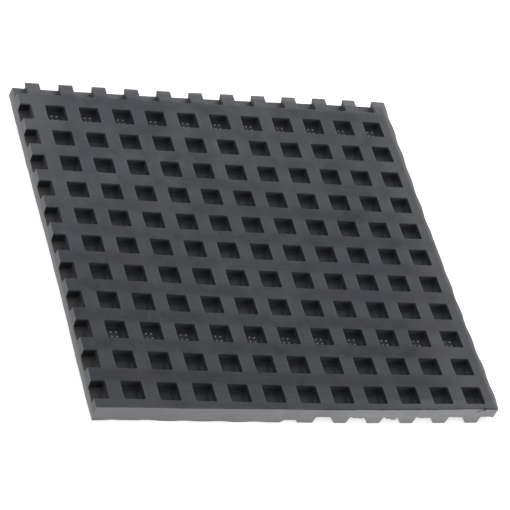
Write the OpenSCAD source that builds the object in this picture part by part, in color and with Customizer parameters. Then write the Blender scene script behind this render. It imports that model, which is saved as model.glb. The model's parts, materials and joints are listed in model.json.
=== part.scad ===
// Square-cell rubber heat mat for seed trays: two moulded rubber cell sheets
// bonded face to face round a thin low-voltage heating laminate.
// Millimetres, +X right, +Y back, +Z up.
// Origin: middle of the underside, on the bench.

/* [Sheet] */
// Distance between neighbouring cells
pitch = 25.4; // [24:0.1:27]
// Full width, left cut to right cut
mat_width = 297.6; // [290:0.1:304]
// Full depth, back cut to the foremost point of the front cut
mat_depth = 296.9; // [290:0.1:304]
// Full thickness of the bonded mat
mat_thick = 13.5; // [13:0.1:15]
// Rows and columns of cells moulded in each face, cut ones included
cells = 12; // [12:1:12]
// First top column centre, from the left cut
column_offset = 1.3; // [0.8:0.1:2]
// First top row centre, from the back cut
row_offset = 2.5; // [2:0.1:3]
// How far the front cut steps back near mid width
front_mid = 1.9; // [0:0.1:2.4]
// How far the front cut steps back at the right corner
front_right = 3.0; // [0:0.1:4]

/* [Cells] */
// Top cell opening, across flats
top_open = 14.7; // [12:0.1:16]
// Top cell floor, across flats
top_floor = 12.7; // [10:0.1:14]
// Top cell depth
top_depth = 6.1; // [5:0.1:6.2]
// Underside cell mouth, across flats
low_open = 15.5; // [12:0.1:16]
// Underside cell ceiling, across flats
low_ceil = 11.5; // [10:0.1:14]
// Underside cell depth
low_depth = 5.8; // [4:0.1:5.8]
// Underside rows sit this share of a pitch in front of the top rows
low_shift = 0.24; // [0.2:0.01:0.3]
// Underside columns sit this much left of half way between the top columns
low_side = 1; // [0:0.1:2]
// First underside column, counted from 0, fully open through the front cut
open_from = 6; // [6:1:11]

/* [Heating laminate] */
// Height of the bonded joint between the two sheets
joint_z = 7.05; // [7:0.01:7.1]
// Aluminium spreader thickness
spreader_thick = 0.1; // [0.05:0.05:0.1]
// Insulating film thickness
film_thick = 0.2; // [0.1:0.1:0.2]
// Carbon strip and bus bar thickness
heat_thick = 0.2; // [0.1:0.1:0.2]
// Bonding layer thickness
bond_thick = 0.2; // [0.1:0.1:0.2]
// Carbon strip width
strip_width = 16; // [10:1:18]
// Bus bar width
bus_width = 7; // [5:1:7]

/* [Socket] */
// Housing height and width
socket_width = 8.4; // [8:0.1:8.6]
// Housing depth, in from the right cut
socket_length = 9; // [9:0.1:9.2]
// Plug bore radius
plug_radius = 2.8; // [2.7:0.05:2.9]
// Centre pin radius
pin_radius = 1; // [0.8:0.05:1.1]
// Height of the socket axis
socket_z = 7.6; // [7.6:0.1:7.6]

/* [Hidden] */
$fn = 48;
over = 1;                    // how far a cut runs past the face it opens
reach = 20;                  // how far cell cuts run past the mat outline

// mat edges
left = -mat_width / 2;
right = mat_width / 2;
front = -mat_depth / 2;
back = mat_depth / 2;
front_bend_x = left + column_offset + 5.4 * pitch;

// underside front row
front_row_back = 1.3;        // how far its closed cells sit behind the grid
notch_height = 2.6;          // shallow break-out
notch_mouth_less = 3;        // narrower than a cell at the bottom
notch_ceil_less = 4;         // and at the top

// laminate levels, bottom to top
laminate_z = joint_z - (spreader_thick + 2 * film_thick + heat_thick + bond_thick);
film_z = laminate_z + spreader_thick;
heat_z = film_z + film_thick;
upper_film_z = heat_z + heat_thick;
bond_z = upper_film_z + film_thick;

// laminate outline, kept clear of every cut edge
laminate_x0 = left + 8;
laminate_x1 = right - 12.5;
laminate_y0 = front + 11.4;
laminate_y1 = back - 8.4;

// bus bars: centre lines and ends
bus_inset = 4.5;
bus_front_y = laminate_y0 + bus_inset;
bus_back_y = laminate_y1 - bus_inset;
bus_x0 = laminate_x0 + 2;
bus_x1 = right - 5.6;

// socket, centred between two underside rows
socket_y = back - row_offset - (low_shift + 5.5) * pitch;
socket_y0 = socket_y - socket_width / 2;
socket_y1 = socket_y + socket_width / 2;
socket_z0 = socket_z - socket_width / 2;
socket_z1 = socket_z0 + socket_width;
bore_x = right - 7;          // back of the plug bore
bore_cut = 20;               // length of the cutters run out through the right cut
seal_radius = 3.9;
seal_thick = 1;
seal_clearance = 0.1;        // seal bore over plug bore, on radius
shank_inset = 0.4;           // pin shank, in from the housing's left face
pin_length = 5.5;
pin_overlap = 0.5;           // round pin sunk in the shank
pin_relief = 0.05;           // round pin under the shank's half width
leaf_x0 = right - 8.6;
leaf_x1 = right - 1.6;
leaf_y0 = socket_y - 3.1;
leaf_thick = 0.4;
leaf_room = 0.6;             // free space behind the leaf
leaf_half_height = 1;

// leads along the right side
lead_x = right - 7.8;        // centre of the lead channel
ribbon_width = 1.6;
ribbon_thick = 0.3;
ribbon_z = socket_z - ribbon_thick / 2;
sleeve_width = 2;
sleeve_height = 1.1;
slot_overlap = 0.1;          // housing slots run this far into the contact seats

// crimp terminals and thermal cut-out share a left face
terminal_x0 = right - 9;
terminal_width = 3.4;
terminal_length = 5;
terminal_z1 = 8.35;
terminal_grip = 0.5;         // ribbon runs this far past the terminal centre
cutout_width = 4.4;
cutout_height = 2.4;
cutout_y0 = 52;
cutout_y1 = cutout_y0 + 10;
cutout_grip = 1;             // ribbon length held in each end of the cut-out

function top_x(column) = left + column_offset + column * pitch;
function top_y(row) = back - row_offset - row * pitch;
function low_x(column) = left + column_offset + (column + 0.5) * pitch - low_side;
function low_y(row) = back - row_offset - (low_shift + row) * pitch;

// cell width where its drafted walls reach `over` past the open face
function flared(open, inner, depth) = open + over * (open - inner) / depth;

// drafted section, bottom wide at z0 and top wide at z1
function section(bottom, top, z0, z1) =
  [[-bottom / 2, z0], [bottom / 2, z0], [top / 2, z1], [-top / 2, z1]];

// ---- shared shapes ----

module block(x0, x1, y0, y1, z0, z1) {
  translate([x0, y0, z0]) cube([x1 - x0, y1 - y0, z1 - z0]);
}

// plan of the cut piece: the front cut runs slightly out of square
module outline(z0, z1) {
  translate([0, 0, z0]) linear_extrude(height = z1 - z0)
    polygon([[left, front], [front_bend_x, front + front_mid],
             [right, front + front_right], [right, back], [left, back]]);
}

// drafted channel along Y, centred on x
module channel_y(x, bottom, top, z0, z1, y0 = front - reach, y1 = back + reach) {
  translate([x, y1, 0]) rotate([90, 0, 0]) linear_extrude(height = y1 - y0)
    polygon(section(bottom, top, z0, z1));
}

// drafted channel along X, centred on y
module channel_x(y, bottom, top, z0, z1, x0 = left - reach, x1 = right + reach) {
  translate([x0, y, 0]) rotate([90, 0, 90]) linear_extrude(height = x1 - x0)
    polygon(section(bottom, top, z0, z1));
}

module laminate_layer(z0, z1) {
  block(laminate_x0, laminate_x1, laminate_y0, laminate_y1, z0, z1);
}

module bus_box(x0, y, z1) {
  block(x0, bus_x1, y - bus_width / 2, y + bus_width / 2, heat_z, z1);
}

module terminal_box(y, z0) {
  block(terminal_x0, terminal_x0 + terminal_width,
    y - terminal_length / 2, y + terminal_length / 2, z0, terminal_z1);
}

module cutout_box(z0) {
  block(terminal_x0, terminal_x0 + cutout_width, cutout_y0, cutout_y1,
    z0, joint_z + cutout_height);
}

module sleeve_box(y0, y1, z0) {
  block(lead_x - sleeve_width / 2, lead_x + sleeve_width / 2, y0, y1,
    z0, joint_z + sleeve_height);
}

module ribbon_box(y0, y1) {
  block(lead_x - ribbon_width / 2, lead_x + ribbon_width / 2, y0, y1,
    ribbon_z, ribbon_z + ribbon_thick);
}

module socket_box(x1, z0, z1) {
  block(right - socket_length, x1, socket_y0, socket_y1, z0, z1);
}

// square shank of the centre pin
module shank_box(x1) {
  block(right - socket_length + shank_inset, x1,
    socket_y - pin_radius, socket_y + pin_radius,
    socket_z - pin_radius, socket_z + pin_radius);
}

module leaf_box(depth) {
  block(leaf_x0, leaf_x1, leaf_y0, leaf_y0 + depth,
    socket_z - leaf_half_height, socket_z + leaf_half_height);
}

// turns a shape's Z axis onto the socket axis, starting at x
module on_socket_axis(x) {
  translate([x, socket_y, socket_z]) rotate([0, 90, 0]) children();
}

// ---- rubber sheets ----

// blind drafted cells of the top face
module top_cells() {
  z0 = mat_thick - top_depth;
  z1 = mat_thick + over;
  mouth = flared(top_open, top_floor, top_depth);
  intersection() {
    union() for (i = [0 : cells - 1])
      channel_y(top_x(i), top_floor, mouth, z0, z1);
    union() for (j = [0 : cells - 1])
      channel_x(top_y(j), top_floor, mouth, z0, z1);
  }
}

// blind drafted cells of the underside
module low_cells() {
  z0 = -over;
  z1 = low_depth;
  mouth = flared(low_open, low_ceil, low_depth);
  front_row_y = low_y(cells - 1);
  split_x = low_x(open_from - 1) + pitch / 2;
  intersection() {
    union() for (i = [0 : cells - 1])
      channel_y(low_x(i), mouth, low_ceil, z0, z1);
    union() {
      for (j = [0 : cells - 2])
        channel_x(low_y(j), mouth, low_ceil, z0, z1);
      // front row: walled in left of the split, open to the front right of it
      channel_x(front_row_y + front_row_back, mouth, low_ceil, z0, z1,
        x1 = split_x);
      block(split_x, right + reach, front - reach, front_row_y + low_ceil / 2,
        z0, z1);
    }
  }
  // shallow break-out of the last column left of the split
  channel_y(low_x(open_from - 1), mouth - notch_mouth_less,
    low_ceil - notch_ceil_less, z0, notch_height, y1 = front_row_y);
}

module upper_cell_sheet() {
  color([0.09, 0.095, 0.10]) difference() {
    outline(joint_z, mat_thick);
    top_cells();
    // lead channel, then terminal, cut-out and socket seats
    sleeve_box(bus_front_y, bus_back_y, joint_z - over);
    for (y = [bus_front_y, bus_back_y])
      terminal_box(y, joint_z - over);
    cutout_box(joint_z - over);
    socket_box(right + over, joint_z - over, socket_z1);
  }
}

module lower_cell_sheet() {
  color([0.085, 0.09, 0.095]) difference() {
    outline(0, joint_z);
    low_cells();
    // laminate recess with a tail for each bus bar
    laminate_layer(laminate_z, joint_z + over);
    for (y = [bus_front_y, bus_back_y])
      bus_box(laminate_x1 - over, y, joint_z + over);
    socket_box(right + over, socket_z0, joint_z + over);
  }
}

// ---- heating laminate ----

module heat_spreader() {
  color([0.8, 0.81, 0.82]) laminate_layer(laminate_z, film_z);
}

module lower_film() {
  color([0.75, 0.5, 0.2]) laminate_layer(film_z, heat_z);
}

module upper_film() {
  color([0.75, 0.5, 0.2]) laminate_layer(upper_film_z, bond_z);
}

module bond_layer() {
  color([0.7, 0.7, 0.66]) laminate_layer(bond_z, joint_z);
}

// carbon strip from bus bar to bus bar, half way between two top columns
module heat_strip(number) {
  x = top_x(number) - pitch / 2;
  color([0.05, 0.05, 0.06])
    block(x - strip_width / 2, x + strip_width / 2,
      bus_front_y + bus_width / 2, bus_back_y - bus_width / 2,
      heat_z, upper_film_z);
}

module bus_bar(y) {
  color([0.8, 0.45, 0.25]) bus_box(bus_x0, y, upper_film_z);
}

// ---- leads ----

// crimp terminal on a bus bar tail; side +1 takes the ribbon from +Y, -1 from -Y
module terminal(y, side) {
  color([0.75, 0.74, 0.7]) difference() {
    terminal_box(y, upper_film_z);
    ribbon_box(y - (side > 0 ? terminal_grip : terminal_length),
      y + (side > 0 ? terminal_length : terminal_grip));
  }
}

module ribbon(y0, y1) {
  color([0.85, 0.55, 0.35]) ribbon_box(y0, y1);
}

module sleeve(y0, y1) {
  color([0.6, 0.12, 0.1]) difference() {
    sleeve_box(y0, y1, joint_z);
    ribbon_box(y0 - over, y1 + over);
  }
}

module thermal_cutout() {
  color([0.88, 0.86, 0.8]) difference() {
    cutout_box(joint_z);
    // ribbon seats in the front and back ends
    ribbon_box(cutout_y0 - over, cutout_y0 + cutout_grip);
    ribbon_box(cutout_y1 - cutout_grip, cutout_y1 + over);
  }
}

// ---- socket, opening through the right cut ----

module socket_housing() {
  color([0.1, 0.1, 0.11]) difference() {
    socket_box(right, socket_z0, socket_z1);
    // plug bore and seal seat
    on_socket_axis(bore_x) cylinder(r = plug_radius, h = bore_cut);
    on_socket_axis(right - seal_thick) cylinder(r = seal_radius, h = bore_cut);
    // pin shank seat, and spring leaf seat open to the bore
    shank_box(bore_x + over);
    leaf_box(leaf_thick + leaf_room);
    // ribbon slots from the front and back
    ribbon_box(socket_y - socket_width, leaf_y0 + slot_overlap);
    ribbon_box(socket_y + pin_radius - slot_overlap, socket_y + socket_width);
  }
}

module socket_pin() {
  color([0.8, 0.68, 0.35]) union() {
    shank_box(bore_x);
    on_socket_axis(bore_x - pin_overlap)
      cylinder(r = pin_radius - pin_relief, h = pin_length);
  }
}

module socket_spring() {
  color([0.8, 0.6, 0.35]) leaf_box(leaf_thick);
}

module socket_seal() {
  color([0.12, 0.12, 0.12]) on_socket_axis(right - seal_thick)
    difference() {
      cylinder(r = seal_radius, h = seal_thick);
      translate([0, 0, -over])
        cylinder(r = plug_radius + seal_clearance, h = seal_thick + 2 * over);
    }
}

upper_cell_sheet();
lower_cell_sheet();
heat_spreader();
lower_film();
upper_film();
bond_layer();
heat_strip(1);  // heat_strip_01
heat_strip(2);  // heat_strip_02
heat_strip(3);  // heat_strip_03
heat_strip(4);  // heat_strip_04
heat_strip(5);  // heat_strip_05
heat_strip(6);  // heat_strip_06
heat_strip(7);  // heat_strip_07
heat_strip(8);  // heat_strip_08
heat_strip(9);  // heat_strip_09
heat_strip(10);  // heat_strip_10
heat_strip(11);  // heat_strip_11
bus_bar(bus_front_y);  // bus_bar_front
bus_bar(bus_back_y);  // bus_bar_back
terminal(bus_front_y, 1);  // terminal_front
terminal(bus_back_y, -1);  // terminal_back
ribbon(bus_front_y - terminal_grip, leaf_y0);  // lead_ribbon_front
sleeve(bus_front_y + terminal_length / 2, socket_y0);  // lead_sleeve_front
ribbon(cutout_y1 - cutout_grip, bus_back_y + terminal_grip);  // lead_ribbon_back
sleeve(cutout_y1, bus_back_y - terminal_length / 2);  // lead_sleeve_back
thermal_cutout();
ribbon(socket_y + pin_radius, cutout_y0 + cutout_grip);  // lead_ribbon_link
sleeve(socket_y1, cutout_y0);  // lead_sleeve_link
socket_housing();
socket_pin();
socket_spring();
socket_seal();
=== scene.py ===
# A flat heated rubber mat: two moulded sheets of square cells lie back to back, with the
# heating laminate, its leads and a socket at the right edge between them. X runs to the
# right, Y to the back and Z up, with the mat flat on the floor. All four sides are knife
# cuts. Sizes are in millimetres until a mesh is made; nodes and lights are in metres.
import functools
import json
import math
import bpy
import numpy as np
from mathutils import Matrix, Vector


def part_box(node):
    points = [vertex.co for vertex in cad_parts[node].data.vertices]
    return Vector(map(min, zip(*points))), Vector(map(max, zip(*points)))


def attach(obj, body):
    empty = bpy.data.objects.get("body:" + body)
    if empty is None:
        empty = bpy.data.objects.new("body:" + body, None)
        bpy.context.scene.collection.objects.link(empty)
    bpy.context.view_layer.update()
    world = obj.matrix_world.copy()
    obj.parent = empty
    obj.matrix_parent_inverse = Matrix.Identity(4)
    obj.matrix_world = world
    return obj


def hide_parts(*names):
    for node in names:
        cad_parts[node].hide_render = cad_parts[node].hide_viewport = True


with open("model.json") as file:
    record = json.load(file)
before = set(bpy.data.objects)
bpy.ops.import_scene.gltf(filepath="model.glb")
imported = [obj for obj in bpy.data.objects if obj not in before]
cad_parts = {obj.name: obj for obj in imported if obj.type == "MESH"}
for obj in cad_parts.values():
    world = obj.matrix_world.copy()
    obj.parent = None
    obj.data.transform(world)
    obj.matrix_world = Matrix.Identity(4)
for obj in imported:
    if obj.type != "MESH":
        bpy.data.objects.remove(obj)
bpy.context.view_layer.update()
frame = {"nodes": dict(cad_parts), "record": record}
record = frame["record"]
MM = 0.001


def box_mm(node):
    """Low and high corner of a CAD piece."""
    low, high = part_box(node)
    return np.array(low) * 1000, np.array(high) * 1000


# ----------------------------------------------------------------------
# driving sizes
# ----------------------------------------------------------------------
# the upper sheet gives the outline, the top and the joint between the sheets
(LEFT, FRONT, JOINT), (RIGHT, BACK, TOP) = box_mm("upper_cell_sheet")
PITCH = 25.4
COUNT = 12                       # cells each way
COLUMN_INSET, ROW_INSET = 1.3, 2.5   # first column from the left cut, first row from the back
FRONT_MID, FRONT_RIGHT = 1.9, 3.0    # how far the front cut has drifted back
MID_X = LEFT + COLUMN_INSET + 5.4 * PITCH
UPPER_MOUTH, UPPER_DEEP = 14.7, 6.1
LOWER_MOUTH, LOWER_DEEP = 15.5, 5.8
MOUTH_RADIUS = 1.0
LOWER_LEFTWARD = 1.0             # lower columns, from halfway between the upper ones
LOWER_FORWARD = 0.24 * PITCH     # lower rows, from the upper ones
OPEN_FROM = 6                    # first lower column broken open by the front cut
NICK_X = 137.6                   # knife nick in the front cut

# cell centres: columns from the left, rows from the back
UPPER_X = np.array([LEFT + COLUMN_INSET + i * PITCH for i in range(COUNT)])
UPPER_Y = np.array([BACK - ROW_INSET - j * PITCH for j in range(COUNT)])
LOWER_X = UPPER_X + PITCH / 2 - LOWER_LEFTWARD
LOWER_Y = UPPER_Y - LOWER_FORWARD

SOCKET_LO, SOCKET_HI = box_mm("socket_housing")
SOCKET_Y = (SOCKET_LO[1] + SOCKET_HI[1]) / 2


# ----------------------------------------------------------------------
# shared shapes
# ----------------------------------------------------------------------
def smooth(start, end, x):
    """0 at start, 1 at end, eased between."""
    t = np.clip((x - start) / (end - start), 0, 1)
    return t * t * (3 - 2 * t)


def front_y(x):
    """The front cut, slightly out of square."""
    return np.interp(x, [LEFT, MID_X, RIGHT], [FRONT, FRONT + FRONT_MID, FRONT + FRONT_RIGHT])


def front_lean(x):
    """How far the front cut leans out per mm down."""
    return 0.002 + 0.113 * smooth(LEFT, RIGHT, x)


def lattice_noise(x, y, seed, size):
    """Smooth value noise in -1..1 on a lattice of the given size."""
    x = np.asarray(x, float) / size + 31.7 * seed
    y = np.asarray(y, float) / size + 17.3 * seed
    column, row = np.floor(x).astype(np.int64), np.floor(y).astype(np.int64)
    part_x, part_y = x - column, y - row

    def knot(a, b):
        n = (a * 374761393 + b * 668265263 + seed * 974634777) & 0xFFFFFFFF
        n = ((n ^ (n >> 13)) * 1274126177) & 0xFFFFFFFF
        n = (n ^ (n >> 16)) & 0xFFFF
        return n / 32767.5 - 1.0

    ease_x = part_x * part_x * (3 - 2 * part_x)
    ease_y = part_y * part_y * (3 - 2 * part_y)
    low = knot(column, row) * (1 - ease_x) + knot(column + 1, row) * ease_x
    high = knot(column, row + 1) * (1 - ease_x) + knot(column + 1, row + 1) * ease_x
    return low * (1 - ease_y) + high * ease_y


# stretch of the sheet as a cubic in u and v: powers of u and v, and their factors, mm
WARP_POWERS = [(i, j) for i in range(4) for j in range(4 - i)]
WARP_X = (0.0, 0.27, 0.65, -0.22, -0.5, 0.67, 1.61, 0.37, -0.31, 0.08)
WARP_Y = (-0.6, -0.03, -0.69, 0.14, -0.58, 1.71, 2.51, 1.33, -0.75, -0.29)


def warp(x, y):
    """In-plane stretch of the soft sheet: none at the socket."""
    u, v = np.clip(x / 150.0, -0.82, 0.88), np.clip(y / 150.0, -0.89, 0.80)
    terms = [u**i * v**j for i, j in WARP_POWERS]
    dx = sum(factor * term for factor, term in zip(WARP_X, terms))
    dy = sum(factor * term for factor, term in zip(WARP_Y, terms))
    # the wall of the last column stays clear of the lead channel
    dx = dx - np.maximum(dx - 0.85, 0.0) * smooth(108.0, 130.0, x)
    near = smooth(10.0, 45.0, np.hypot(x - RIGHT, y - SOCKET_Y))
    return dx * near, dy * near


def add_object(name, points, faces):
    """A linked mesh object from points in mm."""
    mesh = bpy.data.meshes.new(name)
    mesh.from_pydata((np.array(points) * MM).tolist(), [], faces)
    mesh.update()
    ob = bpy.data.objects.new(name, mesh)
    bpy.context.scene.collection.objects.link(ob)
    return ob


def shade_smooth(mesh, material_indices, sharp_degrees):
    mesh.polygons.foreach_set("material_index", np.array(material_indices, np.int32))
    mesh.polygons.foreach_set("use_smooth", np.ones(len(mesh.polygons), bool))
    mesh.update()
    mesh.set_sharp_from_angle(angle=math.radians(sharp_degrees))


# ----------------------------------------------------------------------
# cell relief: depth below the face
# ----------------------------------------------------------------------
# left and right walls of a lower cell: distance in from the mouth, depth
LOWER_LEFT_WALL = [
    (-0.9, 0.0), (-0.4, 0.15), (0.0, 0.6), (0.2, 1.15), (0.4, 2.15),
    (1.0, 5.2), (1.25, 5.5), (1.6, 5.74), (2.0, LOWER_DEEP)]
LOWER_RIGHT_WALL = [
    (-1.2, 0.0), (-0.6, 0.15), (-0.1, 0.55), (0.25, 1.2), (0.6, 1.95),
    (3.3, 4.9), (3.6, 5.37), (4.0, 5.7), (4.5, LOWER_DEEP)]
# side wall of the shallow break-out, same columns
BREAKOUT_WALL = [(-0.3, 0), (0.0, 0.25), (1.3, 2.6)]
BREAKOUT_HALF = 6.1
FRONT_ROW_BACKWARD = 1.3         # unopened cells of the lower front row sit further back


def profile(inset, stations):
    return np.interp(inset, *zip(*stations))


def square_distance(dx, dy, half):
    """Signed distance out from a square with rounded corners."""
    over_x = np.abs(dx) - (half - MOUTH_RADIUS)
    over_y = np.abs(dy) - (half - MOUTH_RADIUS)
    outside = np.hypot(np.maximum(over_x, 0), np.maximum(over_y, 0))
    return outside + np.minimum(np.maximum(over_x, over_y), 0) - MOUTH_RADIUS


def wall_depth(out, deep, draft, lip=0.38, fillet=0.95):
    """Rounded lip, drafted wall and floor fillet, by distance out from the mouth."""
    return profile(-out, [
        (-lip, 0.0), (-lip * 0.5, lip * 0.12), (-lip * 0.12, lip * 0.48),
        (0.06, lip * 1.15), (0.12, lip * 1.9), (draft, deep - fillet * 0.75),
        (draft + fillet * 0.25, deep - fillet * 0.36),
        (draft + fillet * 0.6, deep - fillet * 0.08), (draft + fillet, deep)])


def nearest(values, centres):
    return np.abs(values[..., None] - centres).argmin(-1)


def from_centre(values, centres):
    return values - centres[nearest(values, centres)]


def upper_relief(x, y):
    """The left walls lean more than the right walls."""
    dx, dy = from_centre(x, UPPER_X), from_centre(y, UPPER_Y)
    half, deep = UPPER_MOUTH / 2, UPPER_DEEP
    corner = wall_depth(square_distance(dx, dy, half), deep, draft=0.12, fillet=0.3)
    left = wall_depth(-(dx + half), deep, draft=1.75)
    right = np.where(y > UPPER_Y[0] - half,
                     wall_depth(dx - half, deep, draft=0.2, fillet=0.5),
                     wall_depth(dx - half, deep, draft=0.2, fillet=2.2))
    ends = wall_depth(np.abs(dy) - half, deep, draft=0.9, fillet=1.1)
    return np.minimum(np.minimum(corner, ends), np.minimum(left, right))


def lower_relief(x, y):
    column, row = nearest(x, LOWER_X), nearest(y, LOWER_Y)
    dx, dy_cell = x - LOWER_X[column], y - LOWER_Y[row]
    half, deep = LOWER_MOUTH / 2, LOWER_DEEP
    front = row == COUNT - 1
    dy = np.where(front & (column < OPEN_FROM), dy_cell - FRONT_ROW_BACKWARD, dy_cell)
    # opened cells run straight out through the front
    dy = np.where(front & (column >= OPEN_FROM) & (dy < 0), 0.0, dy)
    corner = wall_depth(square_distance(dx, dy, half), deep, draft=0.12, lip=1.3, fillet=0.3)
    left = profile(dx + half, LOWER_LEFT_WALL)
    right = profile(half - dx, LOWER_RIGHT_WALL)
    ends = wall_depth(np.abs(dy) - half, deep, draft=1.2)
    depth = np.minimum(np.minimum(corner, ends), np.minimum(left, right))
    # the column before the opened ones is broken out only shallowly
    part = front & (column == OPEN_FROM - 1) & (dy_cell < 0)
    shallow = profile(-(np.abs(dx) - BREAKOUT_HALF), BREAKOUT_WALL)
    return np.where(part, np.maximum(depth, shallow), depth)


def bell(distance, width):
    return np.exp(-(distance / width) ** 2)


def upper_face(x, y):
    z = TOP - upper_relief(x, y)
    # faint waviness, one knife nick near the front right corner, and the corner itself
    z = z + 0.05 * lattice_noise(x, y, seed=21, size=31.0) * (z > TOP - 1)
    nick = bell(x - NICK_X, width=0.8) * bell(y - front_y(x), width=0.9)
    corner = bell(RIGHT - x, width=2.0) * bell(y - front_y(x), width=1.0)
    return z - 1.9 * nick - 0.5 * corner


def lower_face(x, y):
    z = lower_relief(x, y)
    z = z + np.where(z < 0.5, 0.03 * (1 + lattice_noise(x, y, seed=23, size=17.0)), 0)
    # the front lip draws up a little between the ribs
    lift = 0.75 * (0.5 + 0.5 * np.cos(2 * np.pi * (x - LOWER_X[0]) / PITCH)) ** 1.5
    last_shut = LOWER_X[OPEN_FROM - 1]
    shut = smooth(last_shut - 4, last_shut - 12, x)
    return z + bell(y - front_y(x), width=1.6) * lift * (z < 0.8) * shut


# ----------------------------------------------------------------------
# seats in the inner faces for the hidden parts: low corner, high corner, height
# ----------------------------------------------------------------------
TERMINAL_LO, TERMINAL_HI = box_mm("terminal_front")
CUTOUT_HI = box_mm("thermal_cutout")[1]
SLEEVE_LO, SLEEVE_HI = box_mm("lead_sleeve_front")
BARS = [box_mm("bus_bar_front"), box_mm("bus_bar_back")]
LAMINATE_LO, LAMINATE_HI = box_mm("heat_spreader")[0], box_mm("bond_layer")[1]
LEAD_INSET = 3.5                 # lead channel ends, back from the front of each bus bar
SOCKET_MOUTH = (SOCKET_HI[0] + 1, SOCKET_HI[1])   # the socket seat opens to the right

UPPER_SEATS = [((SLEEVE_LO[0], BARS[0][0][1] + LEAD_INSET),
                (SLEEVE_HI[0], BARS[1][0][1] + LEAD_INSET), SLEEVE_HI[2])]
for seat_node in ("terminal_front", "terminal_back", "thermal_cutout"):
    seat_lo, seat_hi = box_mm(seat_node)
    UPPER_SEATS.append((seat_lo[:2], seat_hi[:2], seat_hi[2]))
UPPER_SEATS.append((SOCKET_LO[:2], SOCKET_MOUTH, SOCKET_HI[2]))

LOWER_SEATS = [((LAMINATE_HI[0] - 1, lo[1]), hi[:2], lo[2]) for lo, hi in BARS]
LOWER_SEATS.append((LAMINATE_LO[:2], LAMINATE_HI[:2], LAMINATE_LO[2]))
LOWER_SEATS.append((SOCKET_LO[:2], SOCKET_MOUTH, SOCKET_LO[2]))


def inner_height(x, y, seats):
    """The joint plane; later seats override earlier ones."""
    z = np.full(np.shape(x), JOINT)
    for (x_lo, y_lo), (x_hi, y_hi), height in seats:
        z = np.where((x > x_lo) & (x < x_hi) & (y > y_lo) & (y < y_hi), height, z)
    return z


# ----------------------------------------------------------------------
# grid lines
# ----------------------------------------------------------------------
# distance of the lines out from the edge of a mouth
END_LINES = [0.75, 0.38, 0.19, 0.045, -0.06, -0.12, -0.5, -0.85, -1.0, -1.25, -1.6, -2.0]
UPPER_LEFT_LINES = [0.75, 0.38, 0.19, 0.045, -0.06, -0.12, -0.6, -1.2, -1.7, -1.95, -2.3,
                    -2.75]
UPPER_RIGHT_LINES = [0.75, 0.38, 0.19, 0.045, -0.06, -0.14, -0.22, -0.5, -0.85, -1.2, -1.6,
                     -2.0, -2.5]
LOWER_LEFT_LINES = [0.9, 0.4, 0.2, 0.0, -0.2, -0.4, -0.7, -1.0, -1.25, -1.6, -2.0]
LOWER_RIGHT_LINES = [1.2, 0.6, 0.35, 0.1, -0.25, -0.6, -1.0, -2.0, -2.8, -3.3, -3.6, -4.0,
                     -4.5]
MIN_GAP = 0.055                  # closest ordinary lines
STEP_CLEAR = 0.05                # ordinary lines keep this far from a step line
STEP_HALF = 0.012                # a seat wall lies between two lines this far either side
COARSE_SPAN = 40                 # most fine lines between two lines of the inner face


def both_sides(steps):
    return [v for step in set(steps) for v in (step - STEP_HALF, step + STEP_HALF)]


def cell_lines(centres, half, lo, hi, steps, low_lines=END_LINES, high_lines=END_LINES,
               more=()):
    """Grid lines that follow the cell walls, with a close pair at every step."""
    lines = [lo, lo + 0.35, lo + 1.2, hi, hi - 0.35, hi - 1.2] + list(more)
    for c in centres:
        lines += [c - half - out for out in low_lines] + [c + half + out for out in high_lines]
        lines += [c, c - half * 0.45, c + half * 0.45, c + PITCH / 2, c - PITCH / 2,
                  c + PITCH / 2 - 3.2, c + PITCH / 2 + 3.2 - PITCH]
    lines = sorted(v for v in lines if lo - 1e-6 <= v <= hi + 1e-6)
    keep = [lines[0]]
    for v in lines[1:]:
        if v - keep[-1] > MIN_GAP:
            keep.append(v)
    keep[-1] = hi
    pairs = both_sides(steps)
    return np.array(sorted([v for v in keep if all(abs(v - p) > STEP_CLEAR for p in pairs)]
                           + pairs))


def coarse_lines(lines, steps):
    """Indices of the lines used by the inner face: ends, steps and fillers."""
    last = len(lines) - 1
    hard = sorted({int(np.abs(lines - v).argmin()) for v in both_sides(steps)} | {0, last})
    chosen = {last}
    for start, end in zip(hard[:-1], hard[1:]):
        parts = (end - start) // COARSE_SPAN + 1
        chosen |= {start + (end - start) * m // parts for m in range(parts)}
    return sorted(chosen)


# ----------------------------------------------------------------------
# the two cell sheets
# ----------------------------------------------------------------------
CUT_ROWS = 4                     # rows of faces down a cut
SKIN_SLOT, CUT_SLOT = 0, 1


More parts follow.
